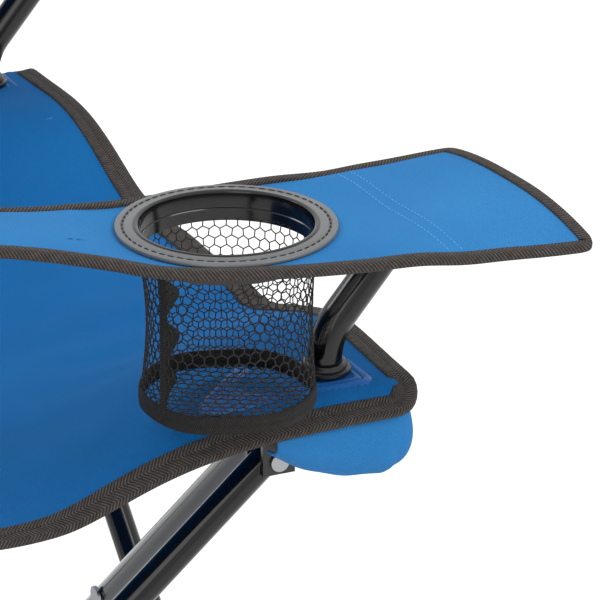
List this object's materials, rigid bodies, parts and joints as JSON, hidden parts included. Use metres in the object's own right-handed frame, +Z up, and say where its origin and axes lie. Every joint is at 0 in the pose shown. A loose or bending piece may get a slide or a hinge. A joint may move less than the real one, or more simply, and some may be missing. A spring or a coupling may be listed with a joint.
{
  "type": "folding camp chair",
  "caption": "Folding camp chair: crossing black steel tubes, blue fabric seat, back and padded arms, and a net cup holder in the right arm.",
  "frame": {"origin": "ground point under the middle of the chair's bounding box", "axes": "+Z up, -Y towards the chair's front, -X towards the sitter's right, the cup holder's side"},
  "size_m": [0.704, 0.6416, 0.8774],
  "materials": {
    "gloss_black_tube": "gloss",
    "black_plastic": "gloss",
    "steel_pin": "satin",
    "blue_plate": "gloss",
    "ring_plastic": "satin",
    "net": "matte",
    "light_blue_cloth": "matte",
    "dark_blue_cloth": "matte"
  },
  "bodies": {
    "foot_rr": {"foot_rr": "black_plastic", "foot_pins_rr": "steel_pin", "back_pole_right": "gloss_black_tube", "pole_cap_right": "black_plastic", "back_panel": "dark_blue_cloth"},
    "foot_fr": {"foot_fr": "black_plastic", "foot_pins_fr": "steel_pin"},
    "foot_fl": {"foot_fl": "black_plastic", "foot_pins_fl": "steel_pin"},
    "foot_rl": {"foot_rl": "black_plastic", "foot_pins_rl": "steel_pin", "back_pole_left": "gloss_black_tube", "pole_cap_left": "black_plastic"},
    "leg_front_outer": {"leg_front_outer": "gloss_black_tube", "rivet_front": "steel_pin"},
    "leg_front_inner": {"leg_front_inner": "gloss_black_tube"},
    "leg_left_outer": {"leg_left_outer": "gloss_black_tube", "rivet_left": "steel_pin"},
    "leg_left_inner": {"leg_left_inner": "gloss_black_tube"},
    "leg_rear_outer": {"leg_rear_outer": "gloss_black_tube", "rivet_rear": "steel_pin"},
    "leg_rear_inner": {"leg_rear_inner": "gloss_black_tube"},
    "leg_right_outer": {"leg_right_outer": "gloss_black_tube", "rivet_right": "steel_pin"},
    "leg_right_inner": {"leg_right_inner": "gloss_black_tube"},
    "hub_fr": {"hub_fr": "black_plastic", "hub_pins_fr": "steel_pin", "arm_post_right": "gloss_black_tube", "post_collar_right": "black_plastic", "corner_plate_right": "blue_plate", "post_cap_right": "black_plastic", "corner_pouch_right": "dark_blue_cloth", "seat_panel": "dark_blue_cloth", "armrest_right": "light_blue_cloth", "cup_ring": "ring_plastic", "cup_net": "net"},
    "hub_fl": {"hub_fl": "black_plastic", "hub_pins_fl": "steel_pin", "arm_post_left": "gloss_black_tube", "post_collar_left": "black_plastic", "corner_plate_left": "blue_plate", "post_cap_left": "black_plastic", "corner_pouch_left": "dark_blue_cloth", "armrest_left": "light_blue_cloth"},
    "hub_rl": {"hub_rl": "black_plastic", "hub_pins_rl": "steel_pin"},
    "hub_rr": {"hub_rr": "black_plastic", "hub_pins_rr": "steel_pin"}
  },
  "joints": [
    {"name": "fold", "type": "hinge", "parent": "foot_rr", "child": "leg_right_outer", "pos_m": [-0.244, 0.24119, 0.028], "axis": [-1, 0, 0], "range_deg": [0, 39], "deforming": ["seat_panel", "back_panel", "armrest_right", "armrest_left"]},
    {"name": "right_cross", "type": "hinge", "parent": "leg_right_outer", "child": "leg_right_inner", "pos_m": [-0.234, 0.02518, 0.218], "axis": [-1, 0, 0], "range_deg": [-78, 0]},
    {"name": "foot_fr_turn", "type": "hinge", "parent": "leg_right_inner", "child": "foot_fr", "pos_m": [-0.224, -0.19082, 0.028], "axis": [-1, 0, 0], "range_deg": [0, 39]},
    {"name": "hub_fr_turn", "type": "hinge", "parent": "leg_right_outer", "child": "hub_fr", "pos_m": [-0.244, -0.19082, 0.408], "axis": [-1, 0, 0], "range_deg": [-39, 0]},
    {"name": "hub_rr_turn", "type": "hinge", "parent": "leg_right_inner", "child": "hub_rr", "pos_m": [-0.224, 0.24119, 0.408], "axis": [-1, 0, 0], "range_deg": [0, 39]},
    {"name": "rear_inner_turn", "type": "hinge", "parent": "foot_rr", "child": "leg_rear_inner", "pos_m": [-0.216, 0.24918, 0.028], "axis": [0, 1, 0], "range_deg": [-39, 0]},
    {"name": "rear_cross", "type": "hinge", "parent": "leg_rear_inner", "child": "leg_rear_outer", "pos_m": [0, 0.25918, 0.218], "axis": [0, 1, 0], "range_deg": [0, 78]},
    {"name": "foot_rl_turn", "type": "hinge", "parent": "leg_rear_outer", "child": "foot_rl", "pos_m": [0.216, 0.26919, 0.028], "axis": [0, 1, 0], "range_deg": [-39, 0]},
    {"name": "hub_rl_turn", "type": "hinge", "parent": "leg_rear_inner", "child": "hub_rl", "pos_m": [0.216, 0.24918, 0.408], "axis": [0, 1, 0], "range_deg": [0, 39]},
    {"name": "front_outer_turn", "type": "hinge", "parent": "foot_fr", "child": "leg_front_outer", "pos_m": [-0.216, -0.21882, 0.028], "axis": [0, -1, 0], "range_deg": [0, 39]},
    {"name": "front_cross", "type": "hinge", "parent": "leg_front_outer", "child": "leg_front_inner", "pos_m": [0, -0.20882, 0.218], "axis": [0, -1, 0], "range_deg": [-78, 0]},
    {"name": "foot_fl_turn", "type": "hinge", "parent": "leg_front_inner", "child": "foot_fl", "pos_m": [0.216, -0.19881, 0.028], "axis": [0, -1, 0], "range_deg": [0, 39]},
    {"name": "hub_fl_turn", "type": "hinge", "parent": "leg_front_outer", "child": "hub_fl", "pos_m": [0.216, -0.21882, 0.408], "axis": [0, -1, 0], "range_deg": [-39, 0]},
    {"name": "left_outer_turn", "type": "hinge", "parent": "foot_fl", "child": "leg_left_outer", "pos_m": [0.244, -0.19082, 0.028], "axis": [1, 0, 0], "range_deg": [0, 39]},
    {"name": "left_cross", "type": "hinge", "parent": "leg_left_outer", "child": "leg_left_inner", "pos_m": [0.234, 0.02518, 0.218], "axis": [1, 0, 0], "range_deg": [-78, 0]}
  ],
  "couplings": [
    {"joint": "right_cross", "follows": "fold", "ratio": -2},
    {"joint": "foot_fr_turn", "follows": "fold", "ratio": 1},
    {"joint": "hub_fr_turn", "follows": "fold", "ratio": -1},
    {"joint": "hub_rr_turn", "follows": "fold", "ratio": 1},
    {"joint": "rear_inner_turn", "follows": "fold", "ratio": -1},
    {"joint": "rear_cross", "follows": "fold", "ratio": 2},
    {"joint": "foot_rl_turn", "follows": "fold", "ratio": -1},
    {"joint": "hub_rl_turn", "follows": "fold", "ratio": 1},
    {"joint": "front_outer_turn", "follows": "fold", "ratio": 1},
    {"joint": "front_cross", "follows": "fold", "ratio": -2},
    {"joint": "foot_fl_turn", "follows": "fold", "ratio": 1},
    {"joint": "hub_fl_turn", "follows": "fold", "ratio": -1},
    {"joint": "left_outer_turn", "follows": "fold", "ratio": 1},
    {"joint": "left_cross", "follows": "fold", "ratio": -2}
  ]
}
